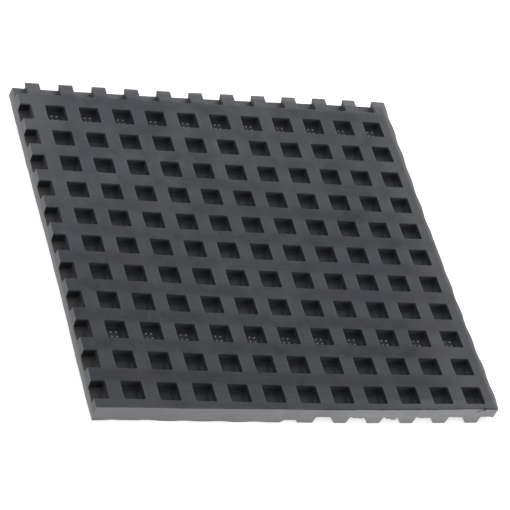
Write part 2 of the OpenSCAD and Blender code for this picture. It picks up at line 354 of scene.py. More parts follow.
def slab_shape(xs, ys, hinge, outer_face, seats, steps_x, steps_y):
    """A closed slab, cell relief on top, cut faces round it, plain inner face below.
    Returns points, faces, material indices, and the counts of relief and inner points."""
    nx, ny = len(xs), len(ys)
    grid_x = np.repeat(xs[None, :], ny, 0)
    grid_y = np.repeat(ys[:, None], nx, 1)
    # rows in front of the hinge fan out to the slanting front cut
    fan = np.clip((hinge - grid_y) / (hinge - FRONT), 0, 1)
    grid_y = grid_y + fan * (front_y(grid_x) - FRONT)
    grid_z = outer_face(grid_x, grid_y)
    points = [np.stack([grid_x, grid_y, grid_z], -1).reshape(-1, 3)]
    ids = np.arange(nx * ny).reshape(ny, nx)
    quads = np.stack([ids[:-1, :-1], ids[:-1, 1:], ids[1:, 1:], ids[1:, :-1]], -1)
    faces = quads.reshape(-1, 4).tolist()
    slots = [SKIN_SLOT] * len(faces)

    # cut faces, ring by ring from the relief to the inner face
    rim = np.array([(0, i) for i in range(nx)] + [(j, nx - 1) for j in range(1, ny)]
                   + [(ny - 1, i) for i in range(nx - 2, -1, -1)]
                   + [(j, 0) for j in range(ny - 2, 0, -1)])
    rim_j, rim_i = rim[:, 0], rim[:, 1]
    rim_x, rim_y, rim_z = (grid[rim_j, rim_i] for grid in (grid_x, grid_y, grid_z))
    end_z = inner_height(rim_x, rim_y, seats)
    total = nx * ny
    ring = ids[rim_j, rim_i]
    for k in range(1, CUT_ROWS + 1):
        t = k / CUT_ROWS
        points.append(np.stack([rim_x, rim_y, rim_z * (1 - t) + end_z * t], -1))
        above, ring = ring, total + np.arange(len(rim))
        total += len(rim)
        faces += np.stack([above, ring, np.roll(ring, -1), np.roll(above, -1)], -1).tolist()
    slots += [CUT_SLOT] * (len(faces) - len(slots))

    # inner face on the coarse lines; its outer cells take in every point of the rim
    coarse_x, coarse_y = coarse_lines(xs, steps_x), coarse_lines(ys, steps_y)
    middle = np.ix_(coarse_y[1:-1], coarse_x[1:-1])
    inner_x, inner_y = grid_x[middle].ravel(), grid_y[middle].ravel()
    points.append(np.column_stack([inner_x, inner_y, inner_height(inner_x, inner_y, seats)]))
    inner_ids = np.full((ny, nx), -1)
    inner_ids[rim_j, rim_i] = ring
    inner_ids[middle] = total + np.arange(len(inner_x)).reshape(grid_x[middle].shape)
    for j0, j1 in zip(coarse_y[:-1], coarse_y[1:]):
        for i0, i1 in zip(coarse_x[:-1], coarse_x[1:]):
            loop = np.concatenate([inner_ids[j0, i0:i1], inner_ids[j0:j1, i1],
                                   inner_ids[j1, i1:i0:-1], inner_ids[j1:j0:-1, i0]])
            faces.append(loop[loop >= 0][::-1].tolist())
    slots += [SKIN_SLOT] * (len(faces) - len(slots))
    return np.concatenate(points), faces, slots, nx * ny, len(inner_x)


def wander(along, z, seeds, sizes):
    """Unsteadiness of a knife cut: a broad and a fine part."""
    return lattice_noise(along, z * 1.4, seeds[0], sizes[0]) * 0.6 + \
        lattice_noise(along, z * 2, seeds[1], sizes[1]) * 0.4


def distort(points, up):
    """Moves the points in place: uneven cuts, leaning teeth, overall stretch."""
    x, y, z = points.T.copy()
    height = z / TOP
    off_front = np.abs(y - front_y(x))
    beside_socket = np.maximum(np.abs(y - SOCKET_Y) - 5.0, 0)
    clear = smooth(3.0, 12.0, np.hypot(x - RIGHT, beside_socket))
    on_left, on_right = np.exp(-(x - LEFT) / 0.5), np.exp(-(RIGHT - x) / 0.5)
    on_front, on_back = np.exp(-off_front / 0.5), np.exp(-(BACK - y) / 0.5)
    side = wander(y, z, seeds=(3, 5), sizes=(9.0, 2.6))
    end = wander(x, z, seeds=(7, 9), sizes=(11.0, 2.8))
    slow = lattice_noise(y, z, seed=13, size=34.0)
    points[:, 0] += clear * (on_left * side * 0.22 + on_right * (slow * 0.25 + side * 0.12))
    points[:, 1] += clear * (on_front * end * 0.13 + on_back * end * 0.2)
    # the front cut leans out a little towards its foot on the right
    points[:, 1] -= on_front * front_lean(x) * (TOP - z)
    # the left cut wavers along its length, differently at foot and head
    foot = 0.55 * smooth(140, 70, y) + 0.75 * smooth(-35, -115, y)
    head = -0.9 * smooth(95, 125, y) + 0.7 * smooth(90, 60, y) - 0.2 * smooth(-20, -60, y) + \
        0.5 * smooth(-90, -130, y) + 1.2 * smooth(-128, -146, y)
    points[:, 0] -= np.exp(-(x - LEFT) / 2.2) * (foot * (1 - height) + head * height)
    # the right cut swells opposite each row of cells and runs out at the back
    swell = 0.42 * np.cos(2 * np.pi * (y - UPPER_Y[0]) / PITCH)
    points[:, 0] += clear * np.exp(-(RIGHT - x) / 2.6) * (
        swell + 0.9 * smooth(95, 135, y) - 0.12 * smooth(40, 0, y))
    # the front right corner is trimmed, most at its foot
    points[:, 0] -= np.exp(-(RIGHT - x) / 1.2) * np.exp(-off_front / 2.0) * (
        0.1 + 1.3 * (1 - height))
    # the back cut runs out to the right
    points[:, 1] += on_back * (0.9 + 1.0 * smooth(-20, 110, x))
    if up:
        # the teeth left by the back cut lean a little over the open cells
        half, dx = UPPER_MOUTH / 2, from_centre(x, UPPER_X)
        mouth_y = UPPER_Y[0] - half
        over = smooth(half - 3.6, half - 0.3, dx) * (1 - smooth(half + 0.3, PITCH / 2, dx))
        over = over * smooth(mouth_y - 0.4, mouth_y + 0.6, y)
        points[:, 0] += 1.7 * over * np.clip((TOP - 0.3 - z) / (UPPER_DEEP - 0.3), 0, 1)
    dx, dy = warp(x, y)
    points[:, 0] += dx
    points[:, 1] += dy


def cell_attributes(mesh, x, y, columns, rows, mouth):
    """Places of the relief points, which come first; the rest keep a filler value.
    cell: unsigned pitch shares from the cell centre in X and Y, mm out from the mouth.
    cell_side: the same shares signed, mm back from the front cut."""
    dx, dy = from_centre(x, columns), from_centre(y, rows)
    share_x, share_y = dx / PITCH, dy / PITCH
    for title, filler, values in (
            ("cell", (0.5, 0.5, 5.0),
             (np.abs(share_x), np.abs(share_y), square_distance(dx, dy, mouth / 2))),
            ("cell_side", (0.5, 0.5, 20.0), (share_x, share_y, y - front_y(x)))):
        table = np.full((len(mesh.vertices), 3), filler, np.float32)
        table[:len(x)] = np.stack(values, -1)
        mesh.attributes.new(title, "FLOAT_VECTOR", "POINT").data.foreach_set(
            "vector", table.ravel())


def cell_sheet(name, up, columns, rows, mouth, hinge, outer_face, seats, steps_x,
               left_lines, right_lines, more_x=()):
    steps_y = [corner[1] for lo, hi, _ in seats for corner in (lo, hi)]
    xs = cell_lines(columns, mouth / 2, LEFT, RIGHT, steps_x, left_lines, right_lines, more_x)
    ys = cell_lines(rows, mouth / 2, FRONT, BACK, steps_y)
    points, faces, slots, relief_count, inner_count = slab_shape(
        xs, ys, hinge, outer_face, seats, steps_x, steps_y)
    if not up:
        faces = [face[::-1] for face in faces]
    relief_x, relief_y = points[:relief_count, :2].T.copy()
    distort(points[:len(points) - inner_count], up)
    ob = add_object(name, points, faces)
    cell_attributes(ob.data, relief_x, relief_y, columns, rows, mouth)
    shade_smooth(ob.data, slots, sharp_degrees=46)
    return ob


upper = cell_sheet(
    "upper_cell_sheet_skin", True, UPPER_X, UPPER_Y, UPPER_MOUTH,
    hinge=UPPER_Y[-1] - UPPER_MOUTH / 2 - 0.9, outer_face=upper_face, seats=UPPER_SEATS,
    steps_x=[SLEEVE_LO[0], SLEEVE_HI[0], TERMINAL_LO[0], TERMINAL_HI[0], CUTOUT_HI[0],
             SOCKET_LO[0]],
    left_lines=UPPER_LEFT_LINES, right_lines=UPPER_RIGHT_LINES,
    more_x=[NICK_X + k * 0.5 for k in range(-4, 5)] + [RIGHT - 2.2, RIGHT - 3.4])
lower = cell_sheet(
    "lower_cell_sheet_skin", False, LOWER_X, LOWER_Y, LOWER_MOUTH,
    hinge=LOWER_Y[-1] + 2.0, outer_face=lower_face, seats=LOWER_SEATS,
    steps_x=[LAMINATE_LO[0], LAMINATE_HI[0], BARS[0][1][0], SOCKET_LO[0]],
    left_lines=LOWER_LEFT_LINES, right_lines=LOWER_RIGHT_LINES)

# ----------------------------------------------------------------------
# torn skin hanging along the front cut, one strip per opened column
# ----------------------------------------------------------------------
# hang, and left and right end from the column centre
TORN_STRIPS = [
    (0.3, -5.4, 5.2), (2.2, -5.6, 4.6), (4.0, -5.4, 4.9),
    (2.4, -5.8, 4.7), (0.9, -5.2, 4.6), (0.4, -5.6, 3.0)]
TORN_TOP, TORN_MEAN = LOWER_DEEP + 0.35, LOWER_DEEP + 0.1
TORN_STEP = 0.42
TORN_SEED = 11


def torn_skin():
    points, faces = [], []
    for k, (hang, left, right) in enumerate(TORN_STRIPS):
        centre, seed = LOWER_X[OPEN_FROM + k], TORN_SEED + k
        x0, x1 = centre + left, min(centre + right, RIGHT - 1.0)
        count = int((x1 - x0) / TORN_STEP)
        xs = np.linspace(x0, x1, count + 1)
        ragged = 0.5 + 0.5 * lattice_noise(xs, xs * 0, seed, size=1.9) + \
            0.35 * lattice_noise(xs, xs * 0, seed + 30, size=0.7)
        taper = smooth(0, 1.4, np.minimum(xs - x0, x1 - xs))
        bottoms = TORN_MEAN - hang * np.clip(ragged, 0.45, 1.25) * taper
        first = len(points)
        for x, bottom in zip(xs, bottoms):
            y = front_y(x) - front_lean(x) * (TOP - TORN_MEAN)
            dx, dy = warp(x, y)
            for back, z in ((0.03, TORN_TOP), (0.03, bottom), (0.55, bottom + 0.25),
                            (0.8, TORN_TOP)):
                points.append((x + dx, y + back + dy, z))
        for a in range(first, first + 4 * count, 4):
            faces += [[a + m, a + (m + 1) % 4, a + 4 + (m + 1) % 4, a + 4 + m]
                      for m in range(4)]
        last = first + 4 * count
        faces.append([first, first + 3, first + 2, first + 1])
        faces.append([last, last + 1, last + 2, last + 3])
    return add_object("torn_skin", points, faces)


torn = torn_skin()

# ----------------------------------------------------------------------
# four round pips in a square on each cell floor of two rows, first column left out
# ----------------------------------------------------------------------
PIP_ROWS = (1, 9)                # counted from the back, from 0
PIP_OFFSET = 1.9
PIP_RADIUS, PIP_HEIGHT = 0.7, 0.8
PIP_SEGMENTS, PIP_RINGS = 24, 5
PIP_SUNK = 0.05


def pip():
    """Closed low dome, flat side down."""
    points, faces, seg = [], [], PIP_SEGMENTS
    for tilt in np.linspace(0, math.pi / 2, PIP_RINGS)[:-1]:
        for k in range(seg):
            turn, radius = 2 * math.pi * k / seg, math.cos(tilt) * PIP_RADIUS
            points.append((radius * math.cos(turn), radius * math.sin(turn),
                           math.sin(tilt) * PIP_HEIGHT))
    for j in range(PIP_RINGS - 2):
        for k in range(seg):
            n = (k + 1) % seg
            faces.append([j * seg + k, j * seg + n, (j + 1) * seg + n, (j + 1) * seg + k])
    faces.append([(PIP_RINGS - 2) * seg + k for k in range(seg)])
    faces.append(list(range(seg))[::-1])
    return np.array(points), faces


def floor_relief():
    dome, dome_faces = pip()
    points, faces = [], []
    for row in PIP_ROWS:
        for column in range(1, COUNT):
            for side, end in ((-1, -1), (-1, 1), (1, -1), (1, 1)):
                x, y = UPPER_X[column] + side * PIP_OFFSET, UPPER_Y[row] + end * PIP_OFFSET
                dx, dy = warp(x, y)
                first = len(points) * len(dome)
                points.append(dome + np.array([x + dx, y + dy, TOP - UPPER_DEEP - PIP_SUNK]))
                faces += [[first + v for v in face] for face in dome_faces]
    ob = add_object("floor_relief", np.concatenate(points), faces)
    shade_smooth(ob.data, [1] * len(faces), sharp_degrees=60)
    return ob


relief = floor_relief()

# ----------------------------------------------------------------------
# materials, all procedural, in object space
# ----------------------------------------------------------------------
SLOT_COLOURS = {m["slot"]: m["base_color"] for m in record["materials"]}


def rgb(slot):
    return tuple(SLOT_COLOURS[slot][:3])


def shade(colour, share):
    return tuple(min(1.0, v * share) for v in colour)


def tint(colour, *shares):
    """One share per channel."""
    return tuple(v * share for v, share in zip(colour, shares))


FACE_COLOUR = shade(rgb("cell_rubber"), 0.79)         # raised face
SKIN_BASE = tint(FACE_COLOUR, 0.985, 0.990, 1.035)
SKIN_GREY = tint(FACE_COLOUR[1:2] * 3, 0.98, 0.99, 1.03)
UPPER_WELL_SHADE, LOWER_WELL_LIGHT = 0.74, 2.2   # cell insides, as a share of the skin colour: painted shade darkens the upper ones, painted light pales the lower ones
LEFT_WALL_LIGHT = 3.05    # painted light: how much paler the left-facing walls get towards the front
FRONT_WALL_LIGHT = 2.05   # painted light: how much paler the front-facing walls get towards the left
FACE_SPECULAR, WELL_SPECULAR = 0.12, 0.10
CUT_BASE = (0.235, 0.237, 0.243)
LEFT_CUT_SHADE = 0.62       # painted shade on the left cut, as a share of the cut colour


class Tree:
    """A new material with a Principled surface; helpers add nodes and return sockets."""

    def __init__(self, name):
        self.material = bpy.data.materials.new(name)
        self.material.use_nodes = True
        self.tree = self.material.node_tree
        self.tree.nodes.clear()
        output = self.node("ShaderNodeOutputMaterial")
        self.surface = self.node("ShaderNodeBsdfPrincipled")
        self.put(output.inputs[0], self.surface.outputs[0])
        self.coord = self.node("ShaderNodeTexCoord").outputs["Object"]

    def node(self, kind, **settings):
        node = self.tree.nodes.new(kind)
        for key, value in settings.items():
            setattr(node, key, value)
        return node

    def put(self, socket, value):
        """Link a socket or set a value."""
        if isinstance(value, bpy.types.NodeSocket):
            self.tree.links.new(value, socket)
        else:
            socket.default_value = value

    def set(self, name, value):
        self.put(self.surface.inputs[name], value)

    def noise(self, scale, detail=3.0, rough=0.55, stretch=None, distortion=0.0):
        vector = self.coord
        if stretch is not None:
            mapping = self.node("ShaderNodeMapping")
            self.put(mapping.inputs["Vector"], vector)
            mapping.inputs["Scale"].default_value = stretch
            vector = mapping.outputs[0]
        node = self.node("ShaderNodeTexNoise")
        for key, value in (("Vector", vector), ("Scale", scale), ("Detail", detail),
                           ("Roughness", rough), ("Distortion", distortion)):
            self.put(node.inputs[key], value)
        return node.outputs["Fac"]

    def voronoi(self, scale):
        node = self.node("ShaderNodeTexVoronoi")
        self.put(node.inputs["Vector"], self.coord)
        node.inputs["Scale"].default_value = scale
        return node.outputs["Distance"]

    def ramp(self, fac, *stops):
        """Stops are (position, grey or colour)."""
        node = self.node("ShaderNodeValToRGB")
        elements = node.color_ramp.elements
        while len(elements) < len(stops):
            elements.new(0.5)
        for element, (position, c) in zip(elements, stops):
            element.position = position
            element.color = (c, c, c, 1) if isinstance(c, (int, float)) else c + (1,)
        self.put(node.inputs[0], fac)
        return node.outputs["Color"]

    def math(self, operation, a, b=0.0, clamp=False):
        node = self.node("ShaderNodeMath", operation=operation, use_clamp=clamp)
        self.put(node.inputs[0], a)
        self.put(node.inputs[1], b)
        return node.outputs[0]

    def times(self, *factors):
        return functools.reduce(lambda a, b: self.math("MULTIPLY", a, b), factors)

    def line(self, value, gain, base):
        return self.math("ADD", self.times(value, gain), base)

    def mix(self, fac, a, b, blend="MIX"):
        node = self.node("ShaderNodeMix", data_type="RGBA", blend_type=blend)
        self.put(node.inputs[0], fac)
        for index, value in ((6, a), (7, b)):
            self.put(node.inputs[index], value + (1,) if isinstance(value, tuple) else value)
        return node.outputs[2]

    def cover(self, tone, colour, mask, amount=None):
        """Lay a colour over the tone where the mask says."""
        if amount is not None:
            mask = self.times(mask, amount)
        return self.mix(mask, tone, colour)

    def bump(self, height, strength, distance, normal=None):
        node = self.node("ShaderNodeBump")
        node.inputs["Strength"].default_value = strength
        node.inputs["Distance"].default_value = distance
        self.put(node.inputs["Height"], height)
        if normal is not None:
            self.put(node.inputs["Normal"], normal)
        return node.outputs[0]

    def separate(self, vector):
        node = self.node("ShaderNodeSeparateXYZ")
        self.put(node.inputs[0], vector)
        return tuple(node.outputs)

    def attribute(self, name):
        node = self.node("ShaderNodeAttribute", attribute_name=name)
        return self.separate(node.outputs["Vector"])

    def step(self, value, off, on):
        """0 at off, 1 at on, smooth between, held outside."""
        node = self.node("ShaderNodeMapRange", interpolation_type="SMOOTHSTEP", clamp=True)
        self.put(node.inputs["Value"], value)
        node.inputs["From Min"].default_value = min(off, on)
        node.inputs["From Max"].default_value = max(off, on)
        node.inputs["To Min"].default_value = 0 if off < on else 1
        node.inputs["To Max"].default_value = 1 if off < on else 0
        return node.outputs["Result"]

    def step_mm(self, value, off, on):
        return self.step(value, off * MM, on * MM)


class Skin(Tree):
    """Adds the place in the cell, the position, the normal and the two main masks."""

    def __init__(self, name):
        super().__init__(name)
        self.share_x, self.share_y, self.out = self.attribute("cell")
        self.side_x, self.side_y, self.from_front = self.attribute("cell_side")
        geometry = self.node("ShaderNodeNewGeometry").outputs
        self.x, self.y, _ = self.separate(geometry["Position"])
        self.normal = self.separate(geometry["True Normal"])
        self.face = self.step(self.out, off=-0.3, on=0.3)
        self.inside = self.step(self.out, off=-0.05, on=-0.3)


def skin_bloom_and_light(t):
    """Uneven ground tone, with painted light paler towards the back and the left."""
    tone = t.ramp(t.noise(scale=9.0, rough=0.5),
                  (0.3, shade(SKIN_BASE, 0.72)), (0.7, shade(SKIN_BASE, 1.10)))
    patch = t.noise(scale=55.0, detail=4.0, rough=0.6, distortion=0.6)
    tone = t.mix(1.0, tone, t.ramp(patch, (0.32, 0.80), (0.70, 1.44)), "MULTIPLY")
    # painted light: a little paler towards the back and the left
    aslant = t.step(t.math("SUBTRACT", t.y, t.x), off=-0.16, on=0.30)
    back_left_light = t.math("ADD", t.times(aslant, 0.83), t.times(t.step(t.y, off=-0.14, on=0.15), 0.28))
    tone = t.mix(1.0, tone, t.math("ADD", back_left_light, 0.92), "MULTIPLY")
    # warm and cool patches
    warm = t.noise(scale=22.0, detail=2.0, rough=0.5)
    tone = t.cover(tone, tint(SKIN_BASE, 1.40, 1.25, 1.33), t.ramp(warm, (0.52, 0.0), (0.70, 0.5)))
    cool = t.noise(scale=17.0, detail=2.0, rough=0.5, stretch=(1.0, 1.3, 1.0))
    return t.cover(tone, tint(SKIN_BASE, 1.06, 1.22, 1.34),
                   t.ramp(cool, (0.53, 0.0), (0.70, 0.5)))


def skin_lips(t, tone):
    """Paler bars between neighbours in a row, and a painted highlight on the lips, strongest along
    those bars.
    """
    across = t.times(t.step(t.share_y, off=0.44, on=0.14), t.step(t.share_x, off=0.26, on=0.34))
    tone = t.cover(tone, shade(SKIN_BASE, 2.1), across, amount=0.50)
    # painted highlight along the lips of the cell mouths
    lip = t.times(t.step(t.out, off=1.5, on=0.5), t.step(t.out, off=-0.25, on=0.1))
    strength = t.line(across, gain=0.24, base=0.08)
    broken = t.ramp(t.noise(scale=150.0, detail=2.0, rough=0.5), (0.35, 0.35), (0.65, 1.0))
    return t.cover(tone, (0.16, 0.165, 0.17), t.times(lip, strength, broken))


def skin_scuffs(t):
    """Mask of thin scuffs along X and along Y, only on the raised face."""
    along_x = t.ramp(t.noise(scale=60.0, detail=2.0, rough=0.5, stretch=(0.25, 3.0, 1.0),
                             distortion=0.4), (0.64, 0.0), (0.70, 0.7), (0.76, 0.0))
    along_y = t.ramp(t.noise(scale=45.0, detail=2.0, rough=0.5, stretch=(2.4, 0.3, 1.0),
                             distortion=0.5), (0.65, 0.0), (0.70, 0.6), (0.75, 0.0))
    return t.times(t.math("ADD", along_x, along_y, clamp=True), t.face)


def skin_dust(t, tone):
    specks = t.ramp(t.voronoi(scale=420.0), (0.05, 1.0), (0.09, 0.0))
    where = t.ramp(t.noise(scale=70.0, detail=2.0), (0.55, 0.0), (0.68, 1.0))
    return t.cover(tone, (0.2, 0.2, 0.2), t.times(specks, where, t.times(t.face, 0.22)))


def skin_wells(t, tone, well):
    """Floors and walls of the cells, coloured with painted light and shade."""
    normal_x, normal_y, normal_z = t.normal
    # painted shade in the upper sheet, painted light in the lower: closed cells take the well
    # share of the skin colour
    painted_well_tone = shade(SKIN_BASE, well)
    shut = t.step_mm(t.y, off=BACK - 9.0, on=BACK - 10.5)
    tone = t.cover(tone, painted_well_tone, t.times(t.step(t.out, off=-0.05, on=-0.4), shut))
    # painted light: floors laid open by the left and the back cut are paler, the back ones more so
    # to the left
    floor = t.times(t.step(normal_z, off=0.6, on=0.95), t.inside)
    tone = t.cover(tone, tint(shade(SKIN_GREY, well), 1.66, 1.62, 1.62),
                   t.times(floor, t.step_mm(t.x, off=LEFT + 9.5, on=LEFT + 8.0)))
    leftward = t.line(t.step(t.x, off=0.14, on=-0.12), gain=0.40, base=0.60)
    tone = t.cover(tone, shade(SKIN_GREY, 3.7), t.times(
        floor, t.step_mm(t.y, off=BACK - 11.0, on=BACK - 10.2), leftward))
    # painted light on walls turned to the left and to the front
    side = t.times(t.step(normal_x, off=-0.10, on=-0.75), t.inside)
    tone = t.cover(tone, shade(SKIN_BASE, well * LEFT_WALL_LIGHT),
                   t.times(side, t.step(t.side_y, off=0.22, on=-0.14)))
    end = t.times(t.step(normal_y, off=-0.10, on=-0.75), t.inside)
    tone = t.cover(tone, shade(SKIN_BASE, well * FRONT_WALL_LIGHT),
                   t.times(end, t.step(t.side_x, off=0.22, on=-0.24)))
    # painted shade: the back walls of the cells along the left cut are darkened
    first = t.step_mm(t.x, off=LEFT + 9.5, on=LEFT + 8.0)
    tone = t.cover(tone, shade(SKIN_BASE, well * 0.45), t.times(end, first), amount=0.9)
    # painted light: the flanks of the teeth left by the back cut are paler
    flank_light = t.times(t.step(normal_z, off=0.8, on=0.5),
                    t.step_mm(t.y, off=BACK - 11.0, on=BACK - 10.0))
    return t.cover(tone, shade(SKIN_GREY, 3.4), flank_light)


def skin_edge_light_and_wear(t, tone):
    """Painted light makes the face paler towards its edges and rims; the front lip is also rubbed.
    """
    # painted light in broad bands: right, right towards the front, left towards the back, front
    right = t.times(t.step_mm(t.x, off=RIGHT - 34.0, on=RIGHT - 6.0), 0.46)
    front_right = t.times(t.step_mm(t.x, off=RIGHT - 60.0, on=RIGHT - 14.0),
                          t.times(t.step(t.y, off=0.0, on=-0.12), 0.54))
    back_left = t.times(t.step_mm(t.x, off=LEFT + 44.0, on=LEFT + 10.0),
                        t.times(t.step(t.y, off=0.0, on=0.150), 0.86))
    rightward = t.math("ADD", 0.24, t.times(t.step(t.x, off=0.0, on=0.13), 0.54))
    front = t.times(t.step(t.from_front, off=11.0, on=6.0), rightward)
    light_band = right
    for other in (front_right, back_left, front):
        light_band = t.math("MAXIMUM", light_band, other)
    light_band = t.times(light_band, t.ramp(t.noise(scale=60.0, detail=2.0), (0.3, 0.75), (0.7, 1.1)))
    tone = t.cover(tone, shade(SKIN_GREY, 3.2), t.times(light_band, t.face))
    # painted light on the right and back rims themselves
    rim = t.step_mm(t.x, off=RIGHT - 5.0, on=RIGHT + 0.4)
    back_rim_light = t.math("ADD", t.times(t.step_mm(t.y, off=BACK - 12.0, on=BACK - 8.0), 0.30),
                      t.times(t.step_mm(t.y, off=BACK - 4.5, on=BACK - 0.5), 0.55))
    rim = t.math("MAXIMUM", t.times(rim, rim), back_rim_light)
    tone = t.cover(tone, shade(SKIN_GREY, 5.2), t.times(
        rim, t.face, t.ramp(t.noise(scale=90.0, detail=2.0), (0.3, 0.7), (0.7, 1.0))))
    # the front lip is rubbed in places, with a dark burr at the very edge on the right
    rubbed = t.ramp(t.noise(scale=70.0, detail=2.0), (0.4, 0.2), (0.6, 1.0))
    tone = t.cover(tone, shade(SKIN_BASE, 2.2),
                   t.times(t.step(t.from_front, off=2.1, on=1.1), rubbed), amount=0.45)
    burr = t.times(t.step(t.x, off=-0.02, on=0.02),
                   t.ramp(t.noise(scale=40.0, detail=2.0), (0.36, 0.3), (0.5, 1.0)))
    return t.cover(tone, shade(SKIN_BASE, 0.25),
                   t.times(t.step(t.from_front, off=0.75, on=0.35), burr), amount=0.9)


def cell_skin(name, well):
    t = Skin(name)
    tone = skin_lips(t, skin_bloom_and_light(t))
    scuffs = skin_scuffs(t)
    tone = t.cover(tone, (0.13, 0.13, 0.135), scuffs, amount=0.22)
    tone = skin_wells(t, skin_dust(t, tone), well)
    t.set("Base Color", skin_edge_light_and_wear(t, tone))
    rough = t.ramp(t.noise(scale=38.0, detail=4.0, rough=0.6), (0.3, 0.44), (0.7, 0.58))
    t.set("Roughness", t.math("ADD", rough, t.times(scuffs, 0.1)))
    t.set("Specular IOR Level",
          t.line(t.face, gain=FACE_SPECULAR - WELL_SPECULAR, base=WELL_SPECULAR))
    bump = t.bump(t.noise(scale=900.0, rough=0.6), strength=0.25, distance=0.00012)
    bump = t.bump(t.noise(scale=260.0, detail=2.0, rough=0.5), strength=0.22,
                  distance=0.00025, normal=bump)
    t.set("Normal", t.bump(t.noise(scale=34.0, detail=2.0, rough=0.5), strength=0.25,
                           distance=0.0012, normal=bump))
    return t.material


def cut_edges(t, tone, x, z, normal_x, normal_y, left):
    """Dark ragged lines along the head of the cuts, painted shade along their foot, and the knife
    nick.
    """
    rag = t.noise(scale=180.0, rough=0.6, stretch=(1.0, 1.0, 0.2))
    ragged_z = t.math("ADD", z, t.times(t.math("SUBTRACT", rag, 0.5), 0.0016))
    broken = t.ramp(t.noise(scale=26.0, rough=0.6), (0.38, 0.25), (0.52, 1.0))
    broken = t.times(broken, t.times(t.step(normal_x, off=-0.8, on=-0.4),
                                     t.step(x, off=-0.03, on=0.02)))
    tone = t.cover(tone, shade(CUT_BASE, 0.10), t.times(
        t.step_mm(ragged_z, off=TOP - 0.8, on=TOP - 0.3), t.times(broken, 0.95)))
    # painted shade along the foot, where the cut meets the floor
    foot = t.times(t.step_mm(ragged_z, off=1.5, on=0.1), t.math("SUBTRACT", 1.0, left),
                   t.ramp(t.noise(scale=110.0, rough=0.6), (0.36, 0.25), (0.58, 0.85)))
    tone = t.cover(tone, shade(CUT_BASE, 0.30), foot)
    # short slit that slants up to the right and ends at the nick
    dx = t.math("SUBTRACT", x, (NICK_X + 0.4) * MM)
    off_line = t.math("SUBTRACT", t.math("SUBTRACT", z, (TOP - 0.2) * MM), t.times(dx, 0.55))
    slit = t.times(t.step_mm(t.math("ABSOLUTE", off_line), off=0.75, on=0.2),
                   t.times(t.step_mm(dx, off=-6.0, on=-4.6), t.step_mm(dx, off=0.6, on=0.1)))
    return t.cover(tone, shade(CUT_BASE, 0.16),
                   t.times(slit, t.step(normal_y, off=-0.5, on=-0.8)))


def cut_face():
    t = Tree("cut_rubber")
    # faint near-vertical drag lines and long soft steps left by the blade
    drag = t.noise(scale=240.0, rough=0.65, stretch=(1.0, 1.0, 0.12), distortion=0.2)
    steps = t.noise(scale=34.0, rough=0.6, stretch=(0.5, 0.5, 5.0), distortion=0.5)
    tone = t.ramp(drag, (0.25, shade(CUT_BASE, 0.90)), (0.5, CUT_BASE),
                  (0.8, shade(CUT_BASE, 1.10)))
    tone = t.cover(tone, shade(CUT_BASE, 0.80), t.ramp(steps, (0.4, 0.0), (0.7, 0.5)))
    patch = t.noise(scale=24.0, rough=0.6)
    tone = t.cover(tone, shade(CUT_BASE, 0.72), t.ramp(patch, (0.45, 0.0), (0.72, 0.6)))
    specks = t.ramp(t.voronoi(scale=520.0), (0.06, 1.0), (0.11, 0.0))
    tone = t.cover(tone, shade(CUT_BASE, 0.4), specks, amount=0.3)
    geometry = t.node("ShaderNodeNewGeometry").outputs
    normal_x, normal_y, _ = t.separate(geometry["True Normal"])
    # painted shade: the left cut is darker, darkest towards the front, paler at its foot
    _, y, left_z = t.separate(geometry["Position"])
    left = t.step(normal_x, off=-0.5, on=-0.8)
    left_shade = t.mix(t.step(y, off=0.10, on=-0.10), shade(CUT_BASE, LEFT_CUT_SHADE * 0.98),
                 shade(CUT_BASE, LEFT_CUT_SHADE * 0.72))
    left_shade = t.cover(left_shade, shade(CUT_BASE, LEFT_CUT_SHADE * 1.7), t.step_mm(left_z, off=9.0, on=0.0))
    tone = t.cover(tone, left_shade, left, amount=0.85)
    # painted shade: the front cut is darker to the left
    x, _, z = t.separate(geometry["Position"])
    front_left_shade = t.times(t.step(x, off=0.07, on=-0.13), t.step(normal_y, off=-0.5, on=-0.8))
    tone = t.cover(tone, shade(CUT_BASE, 0.36), front_left_shade, amount=0.40)
    t.set("Base Color", cut_edges(t, tone, x, z, normal_x, normal_y, left))
    t.set("Roughness", t.ramp(drag, (0.3, 0.62), (0.7, 0.78)))
    t.set("Specular IOR Level", 0.3)
    bump = t.bump(drag, strength=0.25, distance=0.0003)
    bump = t.bump(steps, strength=0.35, distance=0.0005, normal=bump)
    t.set("Normal", t.bump(t.noise(scale=1200.0, detail=2.0), strength=0.3, distance=0.0001,
                           normal=bump))
    return t.material


def relief_material(name, colour, shares, rough, specular):
    t = Tree(name)
    t.set("Base Color", t.ramp(t.noise(scale=300.0), (0.3, shade(colour, shares[0])),
                               (0.7, shade(colour, shares[1]))))
    t.set("Roughness", t.ramp(t.noise(scale=500.0, detail=2.0), (0.3, rough[0]),
                              (0.7, rough[1])))
    t.set("Specular IOR Level", specular)
    t.set("Normal", t.bump(t.noise(scale=700.0, detail=2.0), strength=0.2, distance=0.0001))
    return t.material


def grained(slot, rough_low, rough_high, metallic, grain, stretch, spread, bump, specular,
            coat):
    """Slot colour broken up by a fine grain and broad darker patches."""
    t = Tree(slot)
    colour = rgb(slot)
    fine = t.noise(scale=grain, detail=4.0, rough=0.6, stretch=stretch)
    broad = t.noise(scale=grain * 0.12)
    tone = t.ramp(fine, (0.25, shade(colour, 1 - spread)), (0.75, shade(colour, 1 + spread)))
    t.set("Base Color", t.cover(tone, shade(colour, 1 - 1.4 * spread),
                                t.ramp(broad, (0.4, 0.0), (0.7, 0.45))))
    t.set("Metallic", metallic)
    t.set("Roughness", t.ramp(fine, (0.3, rough_low), (0.7, rough_high)))
    t.set("Specular IOR Level", specular)
    t.set("Coat Weight", coat)
    t.set("Normal", t.bump(fine, strength=bump, distance=0.0001))
    return t.material


